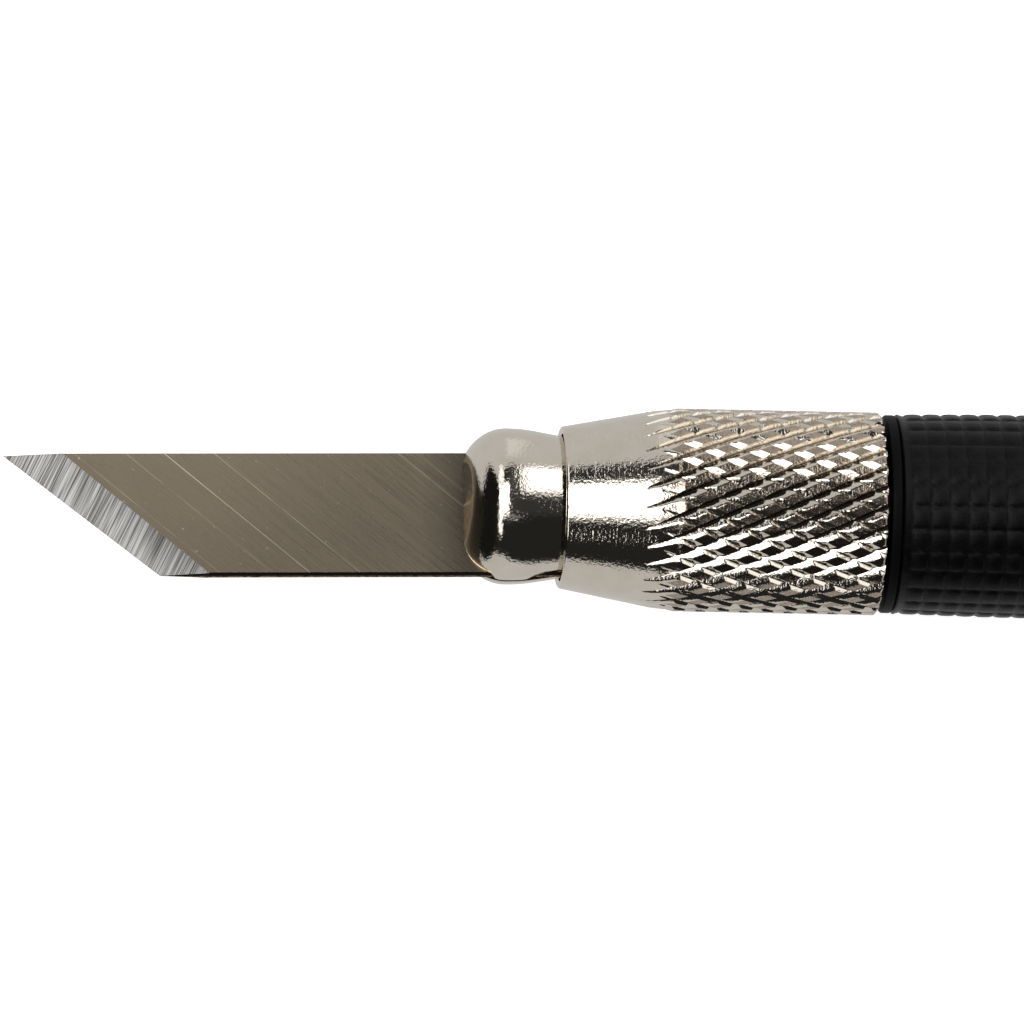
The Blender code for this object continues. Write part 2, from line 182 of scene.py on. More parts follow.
# Colours, where a pair is the two ends of a mix
PLATE = ((0.74, 0.685, 0.60), (0.70, 0.64, 0.55))
ROLLED = ((0.33, 0.265, 0.215), (0.48, 0.41, 0.34))     # flats between the knurl's grooves
# painted shade in the bottom of the knurl's grooves
SEAM_PAINTED_SHADE = (0.07, 0.03, 0.018)
BARE_BRASS = (0.50, 0.37, 0.23)
# the bare brass goes darker brown towards this in patches and towards its top (+y)
DARK_BRASS = (0.035, 0.025, 0.018)
STRIP = ((0.126, 0.104, 0.076), (0.108, 0.090, 0.066))
STRIP_STREAK = (0.17, 0.145, 0.110)
STRIP_SPECK = (0.09, 0.08, 0.065)
STRIP_PAINTED_LIGHT = (0.265, 0.222, 0.162)      # painted light: the face is painted lighter towards the collet, where it reflects less light
PAINTED_LIGHT_FADE = (4.0, 1.0)          # from this far behind the tip to this far before the collet
STRIP_PAINTED_SHADE = (0.10, 0.085, 0.065)      # painted shade right beside the collet
PAINTED_SHADE_RUN = 2.0
SCRATCH = (0.62, 0.54, 0.43)
GROUND = ((0.070, 0.066, 0.060), (0.32, 0.315, 0.31))
# painted dark reflection on the sheared band at the top of the blade's sides
SHEARED_PAINTED_DARK = (0.004, 0.0035, 0.003)
TORN = ((0.02, 0.014, 0.010), (0.24, 0.17, 0.115))
RUBBER = ((0.0008, 0.0008, 0.0008), (0.003, 0.003, 0.0027))
NYLON = (0.0015, 0.0015, 0.0015)
MOULDING = (0.012, 0.012, 0.0125)
SPRING = ((0.45, 0.45, 0.46), (0.60, 0.60, 0.61))
BRASS = ((0.72, 0.55, 0.28), (0.80, 0.63, 0.36))
# painted shade: the brass that shows in the gap between nut and washer is painted black
GAP_SHADE = (0.012, 0.010, 0.009)
GAP_SHADE_LEAD = 0.8               # the painted shade starts this far in front of the nut's back
GAP_SHADE_FADE = 0.2               # and thins out over this length at both ends
TABLE = ((0.80, 0.80, 0.80), (0.84, 0.84, 0.84))
ROOM = (0.62, 0.62, 0.62, 1.0)

# Light. A direction is degrees to the right of the camera and above it, a size is degrees as the
# knife sees it, and the last two numbers are the roll in degrees and the radiance
SOFTBOX_DISTANCE = 450.0
SOFTBOXES = (
    ("softbox_left", (-15.0, 10.0), (36.0, 40.0), 14.0, 2.8),
    ("softbox_right", (36.0, 40.0), (36.0, 36.0), 0.0, 1.3),
)
CARD_DISTANCE = 380.0
CARDS = (
    ("card_below", (0.0, -47.0), (120.0, 60.0), 0.0, 0.02),
    ("card_below_right", (45.0, -40.0), (60.0, 90.0), 0.0, 0.02),
    ("card_right", (18.0, 2.0), (34.0, 30.0), 0.0, 0.04),
    ("card_far_right", (52.0, 8.0), (30.0, 36.0), 0.0, 1.3),
    ("card_left", (-70.0, -10.0), (70.0, 96.0), 0.0, 0.01),
    ("card_above", (-10.0, 47.0), (24.0, 21.0), 0.0, 0.03),
    ("card_middle", (10.0, 38.0), (16.0, 50.0), 0.0, 0.06),
    ("card_upper_left", (-34.0, 44.0), (22.0, 26.0), 0.0, 1.4),
    ("card_lower_left", (-28.0, -25.0), (12.0, 28.0), 0.0, 1.6),
    ("card_overhead", (156.0, 80.0), (13.0, 40.0), 24.0, 0.8),
)
TABLE_HALF = 6.0                # in metres
TABLE_GLOW = 0.75


# ---------------------------------------------------------------- helpers

def span(node):
    """A CAD node's front x, back x and radius (its top's height), in millimetres."""
    low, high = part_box(node)
    return low.x / MM, high.x / MM, high.z / MM


def wrapped(turns):
    """Distance, in turns, to the nearest whole turn."""
    return np.abs(turns - np.round(turns))


def smooth(low, high, value):
    """Goes smoothly from 0 at low to 1 at high."""
    t = np.clip((value - low) / (high - low), 0.0, 1.0)
    return t * t * (3.0 - 2.0 * t)


def add(name, data):
    """A new object in the scene."""
    made = bpy.data.objects.new(name, data)
    bpy.context.scene.collection.objects.link(made)
    return made


def add_rectangle(name, half_x, half_y, height, mat):
    """A level rectangle, in metres."""
    mesh = bpy.data.meshes.new(name)
    corners = ((-1, -1), (1, -1), (1, 1), (-1, 1))
    mesh.from_pydata([(x * half_x, y * half_y, height) for x, y in corners], [], [(0, 1, 2, 3)])
    mesh.materials.append(mat)
    return add(name, mesh)


def make_piece(name, points, faces, body, materials, sharp=35.0):
    """A new piece with outward faces, sharp edges past an angle, that rides on a body."""
    mesh = bpy.data.meshes.new(name)
    mesh.from_pydata((np.asarray(points, float) * MM).tolist(), [], faces)
    bm = bmesh.new()
    bm.from_mesh(mesh)
    bmesh.ops.recalc_face_normals(bm, faces=bm.faces)
    bm.to_mesh(mesh)
    bm.free()
    mesh.shade_smooth()
    mesh.set_sharp_from_angle(angle=math.radians(sharp))
    piece = add(name, mesh)
    for mat in materials:
        mesh.materials.append(mat)
    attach(piece, body)
    return piece


def ring(x, radius, angles):
    """Points round the knife's axis, with one radius or one for each angle."""
    return np.column_stack([np.full(len(angles), x), radius * np.cos(angles),
                            radius * np.sin(angles)])


def ring_quads(rows, columns):
    """Faces between each row of points and the next, round both ways."""
    faces = []
    for i in range(rows):
        here, there = i * columns, (i + 1) % rows * columns
        for j in range(columns):
            k = (j + 1) % columns
            faces.append((here + j, here + k, there + k, there + j))
    return faces


def ring_triangles(rows, columns):
    """As ring_quads, for rows that are each turned half a step from the one before."""
    faces = []
    for i in range(rows):
        here, there = i * columns, (i + 1) % rows * columns
        for j in range(columns):
            k = (j + 1) % columns
            if i % 2 == 0:
                faces.append((here + j, here + k, there + j))
                faces.append((there + j, here + k, there + k))
            else:
                faces.append((here + j, there + k, there + j))
                faces.append((here + j, here + k, there + k))
    return faces


def closed_tube(rows, columns):
    """Faces between each row of points and the next, and one over each end."""
    last = (rows - 1) * columns
    ends = [list(range(columns)), list(range(last, last + columns))]
    return ring_quads(rows, columns)[:-columns] + ends


def turned(name, outline, body, mat):
    """Turns a closed outline of (x, radius) points about the knife's axis."""
    angles = np.arange(TURNED_COLUMNS) * 2 * math.pi / TURNED_COLUMNS
    rows = [ring(x, r, angles) for x, r in outline]
    return make_piece(name, np.concatenate(rows), ring_quads(len(outline), TURNED_COLUMNS),
                      body, [mat])


def fillet(x, radius, corner, start, end, steps=4):
    """Points round a turned edge: an arc about (x, radius), angles in degrees from +x."""
    angles = np.radians(np.linspace(start, end, steps + 1))
    return [(x + corner * math.cos(a), radius + corner * math.sin(a)) for a in angles]


def front_edge(x, radius, corner, steps=4):
    """Points round the edge of an end face at x that looks towards the blade."""
    return fillet(x + corner, radius - corner, corner, 180, 90, steps)


def back_edge(x, radius, corner, steps=4):
    """Points round the edge of an end face at x that looks towards the tail."""
    return fillet(x - corner, radius - corner, corner, 90, 0, steps)


# ---------------------------------------------------------------- materials

class Shader:
    """A Principled material and short ways to add nodes to it."""

    def __init__(self, name, metallic=0.0):
        self.mat = bpy.data.materials.new(name)
        self.mat.use_nodes = True
        self.tree = self.mat.node_tree
        self.main = self.tree.nodes["Principled BSDF"]
        self.main.inputs["Metallic"].default_value = metallic
        self.place = self.node("ShaderNodeTexCoord").outputs["Object"]

    def node(self, kind, inputs=None, **settings):
        made = self.tree.nodes.new(kind)
        for key, value in settings.items():
            setattr(made, key, value)
        for key, value in (inputs or {}).items():
            self.feed(made.inputs[key], value)
        return made

    def feed(self, socket, value):
        if isinstance(value, bpy.types.NodeSocket):
            self.tree.links.new(value, socket)
        else:
            socket.default_value = value

    def set(self, **values):
        """Feeds the material's own sockets."""
        for key, value in values.items():
            self.feed(self.main.inputs[key.replace("_", " ")], value)

    def maths(self, operation, *values, clamp=False):
        return self.node("ShaderNodeMath", dict(enumerate(values)), operation=operation,
                         use_clamp=clamp).outputs[0]

    def attribute(self, name):
        return self.node("ShaderNodeAttribute", attribute_name=name).outputs["Fac"]

    def stretched(self, scale, turn=0.0):
        """The place in millimetres, turned about Z and then scaled, by one number or by three."""
        scales = scale if isinstance(scale, tuple) else (scale,) * 3
        turned_place = self.node("ShaderNodeVectorRotate", {"Vector": self.place, "Angle": turn},
                                 rotation_type='Z_AXIS').outputs[0]
        return self.node("ShaderNodeVectorMath", {0: turned_place, 1: [s / MM for s in scales]},
                         operation='MULTIPLY').outputs[0]

    def axis(self, index, turn=0.0):
        """The place's x, y or z in millimetres, once it is turned about Z."""
        return self.node("ShaderNodeSeparateXYZ", {0: self.stretched(1.0, turn)}).outputs[index]

    def noise(self, scale, turn=0.0, detail=2.0, rough=0.5):
        """Noise in the stretched place, so its scale is in lumps to the millimetre."""
        return self.node("ShaderNodeTexNoise",
                         {"Vector": self.stretched(scale, turn), "Scale": 1.0, "Detail": detail,
                          "Roughness": rough}).outputs[0]

    def between(self, value, low, high, low_out=0.0, high_out=1.0):
        return self.node("ShaderNodeMapRange",
                         {0: value, 1: low, 2: high, 3: low_out, 4: high_out}).outputs[0]

    def mix(self, share, first, second):
        made = self.node("ShaderNodeMix", data_type='RGBA')
        self.feed(made.inputs[0], share)
        for socket, colour in ((made.inputs[6], first), (made.inputs[7], second)):
            self.feed(socket, (*colour, 1.0) if isinstance(colour, tuple) else colour)
        return made.outputs[2]

    def bump(self, shape, height, under=None):
        """Bumps of the given height, in millimetres, over another normal's."""
        made = self.node("ShaderNodeBump",
                         {"Height": shape, "Distance": height * MM, "Strength": 1.0})
        if under:
            self.feed(made.inputs["Normal"], under)
        return made.outputs[0]


def nickel(name, turning=0.0, worn=False, knurled=False):
    """Bright nickel plate with a fine orange peel, and fine rings this deep if it was turned.

    A worn piece shows bare brass by its "wear" attribute, darker brown in patches and towards
    its top. A knurled one is rolled darker on its flats, "top", and has painted shade in the
    bottom of its grooves, "seam".
    """
    s = Shader(name, metallic=1.0)
    peel = s.noise(6.5, detail=1.0, rough=0.6)
    grain = s.noise(16.0, detail=1.0)
    cloud = s.noise(0.9)
    tint = s.mix(s.between(cloud, 0.35, 0.7), *PLATE)
    rough = s.maths('ADD', s.between(cloud, 0.3, 0.7, 0.06, 0.10),
                    s.between(grain, 0.55, 0.8, 0.0, 0.08))
    normal = s.bump(grain, height=0.0035, under=s.bump(peel, height=0.011))
    if turning:
        rings = s.noise((10.0, 0.25, 0.25), detail=1.0, rough=0.7)
        normal = s.bump(rings, height=turning, under=normal)
    if worn:
        ragged = s.maths('ADD', s.attribute("wear"), s.between(grain, 0.3, 0.7, -0.25, 0.25))
        # darker brown in patches and towards the top (+y)
        brown = s.maths('ADD', s.noise(3.0, detail=3.0),
                        s.between(s.axis(1), -0.5, 0.5, -0.12, 0.2))
        bare = s.mix(s.between(brown, 0.40, 0.62), BARE_BRASS, DARK_BRASS)
        tint = s.mix(s.between(ragged, 0.42, 0.62), tint, bare)
    if knurled:
        top = s.attribute("top")
        rolled = s.mix(s.between(grain, 0.40, 0.62), *ROLLED)
        tint = s.mix(s.between(top, 0.6, 0.95), tint, rolled)
        # painted shade in the bottom of the grooves
        tint = s.mix(s.between(s.attribute("seam"), 0.45, 0.9, 0.0, 0.7), tint, SEAM_PAINTED_SHADE)
        rough = s.maths('ADD', rough, s.between(top, 0.5, 1.0, 0.0, 0.06))
    s.set(Base_Color=tint, Roughness=rough, Normal=normal)
    return s.mat


def blade_face():
    """Satin rolled steel with fine streaks and a few scratches, all along the bevel's line. Painted
    light brightens it towards the collet, and painted shade darkens it right beside the collet.
    """
    s = Shader("steel_face", metallic=1.0)
    streaks = s.noise((0.25, 16.0, 1.0), turn=-EDGE_TURN, rough=0.6)
    patchy = s.noise((0.8, 14.0, 1.0), turn=-EDGE_TURN)
    stain = s.noise((0.25, 0.5, 1.0), detail=3.0)
    speck = s.noise(14.0, detail=1.0)
    along = s.axis(0)
    apart = s.axis(1, turn=-EDGE_TURN)
    tip_apart = TIP.y * math.cos(EDGE_TURN) - TIP.x * math.sin(EDGE_TURN)
    marks = s.between(s.noise(5.0, detail=1.0), 0.76, 0.80, 0.0, 0.4)
    for across, width, strength, unbroken in SCRATCHES:
        gap = s.maths('ABSOLUTE', s.maths('SUBTRACT', apart, across + tip_apart))
        line = s.between(gap, 0.0, width, strength, 0.0)
        kept = s.between(patchy, 0.35, 0.6, unbroken, 1.0)
        marks = s.maths('MAXIMUM', marks, s.maths('MULTIPLY', line, kept))
    base = s.mix(s.between(stain, 0.3, 0.7), *STRIP)
    base = s.mix(s.between(streaks, 0.35, 0.75, 0.0, 0.22), base, STRIP_STREAK)
    base = s.mix(s.between(speck, 0.4, 0.7, 0.0, 0.15), base, STRIP_SPECK)
    # painted light: lighter towards the collet, to make up for the darker reflection there
    base = s.mix(s.between(along, TIP.x + PAINTED_LIGHT_FADE[0], COLLET_FRONT - PAINTED_LIGHT_FADE[1]), base,
                 STRIP_PAINTED_LIGHT)
    # painted shade right beside the collet
    base = s.mix(s.between(along, COLLET_FRONT - PAINTED_SHADE_RUN, COLLET_FRONT, 0.0, 0.7), base,
                 STRIP_PAINTED_SHADE)
    s.set(Base_Color=s.mix(marks, base, SCRATCH),
          Roughness=s.between(streaks, 0.3, 0.7, 0.26, 0.31),
          Normal=s.bump(streaks, height=0.0007))
    return s.mat


def blade_bevel():
    """The ground bevel: bright, with fine lines nearly square to the cutting edge."""
    s = Shader("steel_ground", metallic=1.0)
    turn = -EDGE_TURN - GRIND_TURN
    lines = s.noise((19.0, 0.22, 1.0), turn=turn, detail=1.0, rough=0.7)
    bands = s.noise((3.0, 0.10, 1.0), turn=turn)
    shade = s.maths('ADD', s.between(lines, 0.35, 0.65), s.between(bands, 0.3, 0.7, -0.15, 0.15),
                    clamp=True)
    s.set(Base_Color=s.mix(shade, *GROUND), Roughness=0.34, Normal=s.bump(lines, height=0.003))
    return s.mat


def blade_side():
    """The strip's sheared sides: burnished at the top and painted near-black there as a dark
    reflection, torn and a little rusty below.
    """
    s = Shader("steel_side")
    uneven = s.noise((5.0, 5.0, 9.0), detail=4.0, rough=0.7)
    height = s.maths('ADD', s.axis(2), s.between(uneven, 0.3, 0.7, -0.05, 0.05))
    # painted dark reflection above, the torn band's own colour below
    torn = s.between(height, -0.09, -0.03, 1.0, 0.0)
    rusty = s.mix(s.between(uneven, 0.45, 0.62), *TORN)
    s.set(Base_Color=s.mix(torn, SHEARED_PAINTED_DARK, rusty), IOR=1.03, Roughness=0.45,
          Normal=s.bump(uneven, height=0.006))
    return s.mat


def rubber():
    """Soft black grip with a fine grain and a little dust."""
    s = Shader("grip_rubber")
    grain = s.noise(15.0, rough=0.7)
    dust = s.noise(1.6, detail=4.0)
    s.set(Base_Color=s.mix(s.between(dust, 0.4, 0.75), *RUBBER),
          Specular_IOR_Level=0.13,
          Roughness=s.between(grain, 0.3, 0.7, 0.26, 0.42),
          Normal=s.bump(grain, height=0.020))
    return s.mat


def plastic(name, shade, roughness, grain_size, grain_height, shine):
    """Moulded black plastic with a matt grain and faint handling marks."""
    s = Shader(name)
    grain = s.noise(1 / grain_size)
    rubbed = s.noise((0.10, 0.6, 0.6), detail=4.0)
    s.set(Base_Color=s.mix(s.between(rubbed, 0.35, 0.75), shade, tuple(1.7 * c for c in shade)),
          Specular_IOR_Level=shine,
          Roughness=s.between(rubbed, 0.3, 0.7, roughness + 0.06, roughness - 0.08),
          Normal=s.bump(grain, height=grain_height))
    return s.mat


def plain_metal(name, colours, roughness, streak, gap_shade=None):
    """A turned or drawn metal for the small inner pieces, painted black in one stretch as shade in a
    gap between parts.
    """
    s = Shader(name, metallic=1.0)
    lines = s.noise(streak, detail=3.0, rough=0.7)
    colour = s.mix(s.between(lines, 0.3, 0.7), *colours)
    if gap_shade:
        along = s.axis(0)
        start, end = gap_shade
        inside = s.maths('MULTIPLY', s.between(along, start - GAP_SHADE_FADE, start),
                         s.between(along, end, end + GAP_SHADE_FADE, 1.0, 0.0))
        # painted shade over the stretch in the gap
        colour = s.mix(inside, colour, GAP_SHADE)
    s.set(Base_Color=colour,
          Roughness=s.between(lines, 0.3, 0.7, roughness - 0.05, roughness + 0.08),
          Normal=s.bump(lines, height=0.003))
    return s.mat


def emitter(name, level):
    """A plain glow, for a card."""
    s = Shader(name)
    light = s.node("ShaderNodeEmission", {"Color": (*(level,) * 3, 1.0), "Strength": 1.0})
    output = next(n for n in s.tree.nodes if n.type == 'OUTPUT_MATERIAL')
    s.tree.links.new(light.outputs[0], output.inputs["Surface"])
    return s.mat


def table_top():
    """Pale and matt, and faintly uneven."""
    s = Shader("pale_table")
    s.set(Base_Color=s.mix(s.noise(0.01), *TABLE), Roughness=0.9,
          Emission_Color=(1.0, 1.0, 1.0, 1.0), Emission_Strength=TABLE_GLOW)
    return s.mat


# ---------------------------------------------------------------- blade

def blade_middle():
    """How far to the side the middle of the blade's width is, at its front end."""
    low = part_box("blade")[0].y / MM
    return low - CUT_RUN * math.sin(BLADE_LEAN) + BLADE_WIDTH / 2 * math.cos(BLADE_LEAN)


def make_blade(materials):
    """A flat strip with a slanted tip, ground from both sides."""
    low, high = (np.array(corner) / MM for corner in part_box("blade"))
    lean_cos, lean_sin = math.cos(BLADE_LEAN), math.sin(BLADE_LEAN)
    half, thick = BLADE_WIDTH / 2, high[2]
    middle = blade_middle()
    length = (high[0] - low[0] - (BLADE_WIDTH - HEEL_CHAMFER) * lean_sin) / lean_cos

    def at(u, v, z):
        return Vector((low[0] + u * lean_cos - (v - half) * lean_sin,
                       middle + u * lean_sin + v * lean_cos, z))

    outline = [(BEVEL_RUN[0], half), (CUT_RUN + BEVEL_RUN[1], -half), (length - HEEL_CHAMFER, -half),
               (length, -half + HEEL_CHAMFER), (length, half - HEEL_CHAMFER),
               (length - HEEL_CHAMFER, half)]
    edge = [(0.0, half), (CUT_RUN, -half)]
    bm = bmesh.new()
    rims, flats = [], []
    for side in (1, -1):
        flat = [bm.verts.new(at(u, v, side * thick)) for u, v in outline]
        keen = [bm.verts.new(at(u, v, side * EDGE_HALF - EDGE_DROP)) for u, v in edge]
        flats.append(bm.faces.new(flat))
        bm.faces.new([flat[0], flat[1], keen[1], keen[0]])
        rims.append(keen + flat[1:] + flat[:1])
    upper, lower = rims
    for i in range(len(upper)):
        j = (i + 1) % len(upper)
        bm.faces.new([upper[i], upper[j], lower[j], lower[i]])
    bmesh.ops.recalc_face_normals(bm, faces=bm.faces)
    broken = [e for flat in flats for e in flat.edges
              if all(abs(f.normal.z) < 0.5 for f in e.link_faces if f is not flat)]
    bmesh.ops.bevel(bm, geom=broken, offset=RIM, segments=2, profile=0.5, affect='EDGES',
                    offset_type='OFFSET')
    bm.normal_update()
    kinds = []
    for face in bm.faces:
        level = abs(face.normal.z)
        kinds.append(0 if level > FLAT_LEVEL else 1 if level > BEVEL_LEVEL else 2)
    points = [v.co[:] for v in bm.verts]
    faces = [[v.index for v in face.verts] for face in bm.faces]
    bm.free()
    blade = make_piece("ground_blade", points, faces, "blade", materials, sharp=20)
    blade.data.polygons.foreach_set("material_index", kinds)
    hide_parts("blade")


# ---------------------------------------------------------------- collet

def jaw_profile(bulb_r, length):
    """(distance from the front, radius) along a jaw."""
    rows = [(0.0, r) for r in FACE_RINGS]
    for a in np.radians(np.linspace(2, 90, NOSE_STEPS)):
        rows.append((NOSE_RUN * (1 - math.cos(a)), FACE_R + (bulb_r - FACE_R) * math.sin(a)))
    blend = TAPER_BLEND - NOSE_RUN
    for x in np.linspace(NOSE_RUN, TAPER_BLEND, 8)[1:]:
        rows.append((x, bulb_r - TAPER * (x - NOSE_RUN) ** 2 / (2 * blend)))
    taper_r = rows[-1][1]
    neck = TAPER_BLEND + (taper_r - NECK_R) / TAPER
    rows += [(x, taper_r + (NECK_R - taper_r) * i / 6)
             for i, x in enumerate(np.linspace(TAPER_BLEND, neck, 7)) if i]
    start, end, pitch, _ = THREAD
    run_in, run_out = THREAD_ENDS
    step = pitch / THREAD_STEPS
    rows += [(start - run_in, NECK_R), (start, THREAD_R)]
    rows += [(x, THREAD_R) for x in np.arange(start + step, end, step)]
    return rows + [(end, THREAD_R), (end + run_out, TAIL_R), (length, TAIL_R)]


def thread_cut(x, angle):
    """How deep the collet's right-hand thread is cut at a place on it."""
    start, end, pitch, depth = THREAD
    if not start < x < end:
        return 0.0
    fade = min(1.0, (x - start) / pitch, (end - x) / (pitch / 4))
    return depth * fade * 2 * float(wrapped(x / pitch - angle / (2 * math.pi)))


def jaw_section(x, radius, floor, lip, seat, way):
    """One cross-section of a jaw as (side, height, bare) points, bare being 1 on its flats."""
    low = floor
    wall = math.sqrt(radius ** 2 - floor ** 2) - FLAT_INSET
    if seat:
        rise = (floor - lip) * float(smooth(seat, seat + LIP_RISE, radius))
        low = floor - max(LIP_LEAST, rise)
        wall = min(seat, wall)
    flat = [(wall * i / 6, floor, 1.0) for i in range(-6, 7)]
    side = [(wall, floor + (low - floor) * i / 3, 1.0) for i in (1, 2, 3)] if seat else []
    start = math.asin(low / radius)
    reach, drop = BROKEN_EDGE
    drop *= min(1.0, (radius / NECK_R) ** 2)
    arc = []
    for i in range(SECTION_STEPS + 1):
        angle = start + (math.pi - 2 * start) * (i / SECTION_STEPS)
        away = radius * min(angle - start, math.pi - start - angle) / reach
        away = min(max(away, 0.0), 1.0)
        turn = radius - drop * (1 - math.sqrt(1 - (1 - away) ** 2)) - thread_cut(x, way * angle)
        arc.append((turn * math.cos(angle), max(turn * math.sin(angle), low),
                    EDGE_WEAR * (1 - away)))
    return flat + side + arc + [(-y, z, bare) for y, z, bare in reversed(side)]


def make_jaw(node, way, floor, lip, seat, mat):
    """One jaw of the collet: way is 1 for the upper one and -1 for the lower one."""
    front, back, _ = span(node)
    bulb_r = abs(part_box(node)[1 if way > 0 else 0].z) / MM
    points, bare = [], []
    rows = jaw_profile(bulb_r, back - front)
    for x, radius in rows:
        face = float(1 - smooth(FACE_R, FACE_R + FACE_WEAR, radius)) if x < NOSE_RUN else 0.0
        ahead = 1 - (radius / bulb_r) ** SLANT_FADE if x < NOSE_RUN else 0.0
        for y, z, flat in jaw_section(x, radius, floor, lip, seat, way):
            points.append((front + x + FACE_SLANT * (z - floor) * ahead, y, way * z))
            bare.append(max(flat, face))
    faces = closed_tube(len(rows), len(points) // len(rows))
    jaw = make_piece(node + "_turned", points, faces, node.replace("collet_", ""),
                     [mat], sharp=40)
    jaw.data.attributes.new("wear", 'FLOAT', 'POINT').data.foreach_set("value", bare)
    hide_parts(node)


# ---------------------------------------------------------------- nut and washer

def knurl_depth(phase, depth, gentle, steep, hollow):
    """Depth of a lopsided V groove at a phase counted in grooves."""
    past = phase - np.floor(phase)
    easy = np.maximum(0.0, 1 - past / gentle) ** hollow
    return depth * np.maximum(easy, 1 - (1 - past) / steep)


def knurled_ring(x, turns, radius, outline):
    """Radii round the nut's outside at x, with how flat-topped each place is and how much painted
    shade its seam gets.
    """
    along = (x - KNURL_CROSSING) / KNURL_LENGTH
    one_way, other_way = STARTS * turns + along, along - STARTS * turns
    deep = knurl_depth(one_way + HAIR, *DEEP)
    shallow = knurl_depth(other_way + HAIR, *SHALLOW)
    cut = np.maximum(deep, shallow)
    radii = np.minimum(np.interp(x, *outline), radius - cut)
    if x <= MARKED_FROM:
        return radii, np.zeros(len(turns)), np.zeros(len(turns))
    cell = np.floor(one_way) + np.floor(other_way) + 1
    whole = KNURL_CROSSING + KNURL_LENGTH * cell / 2 > WHOLE_FROM
    top = np.where((cut < UNCUT) & whole, 1.0, 0.0)
    seam_shade = [depth / full * times - less for depth, full, (times, less) in
            ((deep, DEEP[0], DEEP_SEAM_SHADE), (shallow, SHALLOW[0], SHALLOW_SEAM_SHADE))]
    return radii, top, np.clip(np.maximum(*seam_shade), 0, 1)


def make_nut(mat):
    """The nut: smooth cone in front, crossed spiral grooves behind, and its stepped bore."""
    front, back, radius = span("knurled_nut")
    length = back - front
    level, turn_r, turn_start = NUT_SHOULDER
    mouth = front_edge(0, NUT_MOUTH_R, NUT_EDGE)
    shoulder = fillet(level, radius - turn_r, turn_r, turn_start, 90)
    end = [(length - NUT_EDGE, radius), (length - NUT_EDGE / 2, radius - 0.3 * NUT_EDGE),
           (length, radius - NUT_EDGE)]
    outline = list(zip(*mouth, NUT_CONE, *shoulder, *end))
    step = KNURL_LENGTH / (2 * KNURL_STEPS)
    first = KNURL_CROSSING + KNURL_LEAD * step
    from_mouth, to_knurl, count = CONE_MESH
    stations = [x for x, _ in mouth] + np.linspace(from_mouth, first - to_knurl, count).tolist()
    stations += np.arange(first, length - NUT_EDGE - step / 2, step).tolist()
    stations += [x for x, _ in end]
    # Every other row is turned half a step, so the rows close only if their number is even
    if (len(stations) + len(NUT_BORE)) % 2:
        stations.insert(-1, length - NUT_EDGE / 4)
    columns = STARTS * KNURL_STEPS
    points, tops, seams = [], [], []
    for i, (x, bore_r) in enumerate([(x, None) for x in stations] + list(NUT_BORE)):
        turns = (np.arange(columns) + (i % 2) / 2) / columns
        if bore_r is None:
            radii, top, seam = knurled_ring(x, turns, radius, outline)
        else:
            radii, top, seam = (np.full(columns, value) for value in (bore_r, 0.0, 0.0))
        points.append(ring(front + x, radii, 2 * math.pi * turns + KNURL_TURN))
        tops.append(top)
        seams.append(seam)
    nut = make_piece("knurled_nut_cut", np.concatenate(points),
                     ring_triangles(len(points), columns), "nut", [mat], sharp=30)
    for name, values in (("top", tops), ("seam", seams)):
        nut.data.attributes.new(name, 'FLOAT', 'POINT').data.foreach_set(
            "value", np.concatenate(values))
    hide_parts("knurled_nut")


def make_washer(mat):
    """The thin ring that the nut turns against."""
    front, back, radius = span("thrust_washer")
    rim = front_edge(front, radius, WASHER_EDGES[0]) + back_edge(back, radius, WASHER_EDGES[1])
    bore = [(back, WASHER_BORE_R), (front + (back - front) / 2, WASHER_BORE_R),
            (front, WASHER_BORE_R)]
    washer = turned("thrust_washer_ring", rim + bore, "handle", mat)
    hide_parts("thrust_washer")


# ---------------------------------------------------------------- handle

def make_grip(mat):
    """The soft sleeve, moulded with rows of small raised squares."""
    front, back, radius = span("grip_sleeve")
    shares, drops = (np.array(values) for values in zip(*RIB_PROFILE))
    rows = [(front + away, dip) for away, dip in GRIP_FRONT]
    for cell in range(int((back - front - PLAIN_FRONT) / RIB_LENGTH)):
        rows += [(front + PLAIN_FRONT + (cell + share) * RIB_LENGTH, dip)
                 for share, dip in zip(shares, drops)]
    last = rows[-1][0]
    rows.append((last + PLAIN_BACK[0], PLAIN_BACK[1]))
    rows += [(back - away, dip) for away, dip in GRIP_BACK]
    turns = np.concatenate([(k + shares) / RIBS_ROUND for k in range(RIBS_ROUND)])
    across = np.tile(drops, RIBS_ROUND)
    angles = 2 * math.pi * turns + RIB_TURN
    points = []
    for x, dip in rows:
        swell = GRIP_DROP * (1 - math.sin(math.pi / 2 * min(1.0, (x - front) / GRIP_SWELL)))
        ribbed = PLAIN_FRONT + front <= x <= last
        both = 1 - (1 - dip) * (1 - across) if ribbed else dip
        points.append(ring(x, radius - swell - RIB_DEPTH * both, angles))
    land, collar = front + LAND[0] + FIT, front + COLLAR[0] + FIT
    for x, r in ((back, TUBE_R), (land, TUBE_R), (land, LAND[1]), (collar, LAND[1]),
                 (collar, COLLAR[1]), (front, COLLAR[1])):
        points.append(ring(x, r + FIT, angles))
    grip = make_piece("ribbed_grip", np.concatenate(points),
                      ring_quads(len(points), len(turns)), "handle", [mat],
                      sharp=40)
    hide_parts("grip_sleeve")


